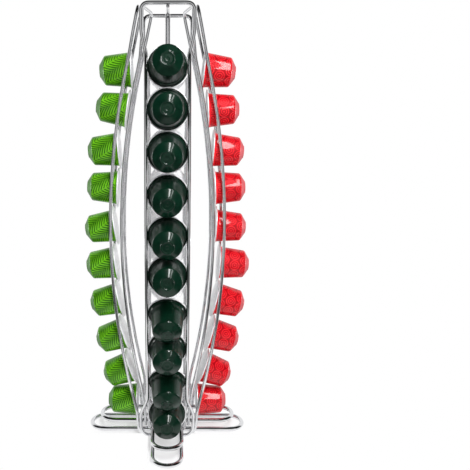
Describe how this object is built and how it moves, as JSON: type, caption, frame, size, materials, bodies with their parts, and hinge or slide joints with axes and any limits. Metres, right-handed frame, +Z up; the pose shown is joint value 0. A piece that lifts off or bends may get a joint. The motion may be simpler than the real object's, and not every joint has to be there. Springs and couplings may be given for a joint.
{
  "type": "capsule dispenser",
  "caption": "Countertop wire tower whose curved lanes stack small coffee capsules edge to edge, loaded at the top mouths and taken one at a time from the trays at the foot.",
  "frame": {"origin": "on the tabletop, under the tower's axis", "axes": "+Z up; the front column faces -Y, the right column +X, the back column +Y and the left column -X"},
  "size_m": [0.1572, 0.1572, 0.4029],
  "materials": {
    "polished_chrome": "polished",
    "front_cup_aluminium": "glossy coloured lacquer",
    "right_cup_aluminium": "glossy coloured lacquer",
    "back_cup_aluminium": "glossy coloured lacquer",
    "left_cup_aluminium": "glossy coloured lacquer",
    "lid_foil": "satin foil, on the lids and rolled rims"
  },
  "bodies": {
    "rack": {"foot_wire": "polished_chrome", "tray_wire": "polished_chrome", "base_cross": "polished_chrome", "centre_rod": "polished_chrome", "top_cross_wire": "polished_chrome", "front_outer_frame": "polished_chrome", "front_inner_frame": "polished_chrome", "right_outer_frame": "polished_chrome", "right_inner_frame": "polished_chrome", "back_outer_frame": "polished_chrome", "back_inner_frame": "polished_chrome", "left_outer_frame": "polished_chrome", "left_inner_frame": "polished_chrome"},
    "front_stack": {"front_capsule_01": "front_cup_aluminium", "front_capsule_02": "front_cup_aluminium", "front_capsule_03": "front_cup_aluminium", "front_capsule_04": "front_cup_aluminium", "front_capsule_05": "front_cup_aluminium", "front_capsule_06": "front_cup_aluminium", "front_capsule_07": "front_cup_aluminium", "front_capsule_08": "front_cup_aluminium", "front_capsule_09": "front_cup_aluminium"},
    "front_outlet": {"front_capsule_10": "front_cup_aluminium"},
    "right_stack": {"right_capsule_01": "right_cup_aluminium", "right_capsule_02": "right_cup_aluminium", "right_capsule_03": "right_cup_aluminium", "right_capsule_04": "right_cup_aluminium", "right_capsule_05": "right_cup_aluminium", "right_capsule_06": "right_cup_aluminium", "right_capsule_07": "right_cup_aluminium", "right_capsule_08": "right_cup_aluminium", "right_capsule_09": "right_cup_aluminium"},
    "right_outlet": {"right_capsule_10": "right_cup_aluminium"},
    "back_stack": {"back_capsule_01": "back_cup_aluminium", "back_capsule_02": "back_cup_aluminium", "back_capsule_03": "back_cup_aluminium", "back_capsule_04": "back_cup_aluminium", "back_capsule_05": "back_cup_aluminium", "back_capsule_06": "back_cup_aluminium", "back_capsule_07": "back_cup_aluminium", "back_capsule_08": "back_cup_aluminium", "back_capsule_09": "back_cup_aluminium"},
    "back_outlet": {"back_capsule_10": "back_cup_aluminium"},
    "left_stack": {"left_capsule_01": "left_cup_aluminium", "left_capsule_02": "left_cup_aluminium", "left_capsule_03": "left_cup_aluminium", "left_capsule_04": "left_cup_aluminium", "left_capsule_05": "left_cup_aluminium", "left_capsule_06": "left_cup_aluminium", "left_capsule_07": "left_cup_aluminium", "left_capsule_08": "left_cup_aluminium", "left_capsule_09": "left_cup_aluminium"},
    "left_outlet": {"left_capsule_10": "left_cup_aluminium"}
  },
  "joints": [
    {"name": "front_stack_lift", "type": "hinge", "parent": "rack", "child": "front_stack", "pos_m": [0, 0.6325, 0.202], "axis": [-1, 0, 0], "range_deg": [0, 1.4]},
    {"name": "front_outlet_slide", "type": "slide", "parent": "rack", "child": "front_outlet", "axis": [0, -1, 0], "range_m": [0, 0.0075]},
    {"name": "right_stack_lift", "type": "hinge", "parent": "rack", "child": "right_stack", "pos_m": [-0.6325, 0, 0.202], "axis": [0, -1, 0], "range_deg": [0, 1.4]},
    {"name": "right_outlet_slide", "type": "slide", "parent": "rack", "child": "right_outlet", "axis": [1, 0, 0], "range_m": [0, 0.0075]},
    {"name": "back_stack_lift", "type": "hinge", "parent": "rack", "child": "back_stack", "pos_m": [0, -0.6325, 0.202], "axis": [1, 0, 0], "range_deg": [0, 1.4]},
    {"name": "back_outlet_slide", "type": "slide", "parent": "rack", "child": "back_outlet", "axis": [0, 1, 0], "range_m": [0, 0.0075]},
    {"name": "left_stack_lift", "type": "hinge", "parent": "rack", "child": "left_stack", "pos_m": [0.6325, 0, 0.202], "axis": [0, 1, 0], "range_deg": [0, 1.4]},
    {"name": "left_outlet_slide", "type": "slide", "parent": "rack", "child": "left_outlet", "axis": [-1, 0, 0], "range_m": [0, 0.0075]}
  ]
}
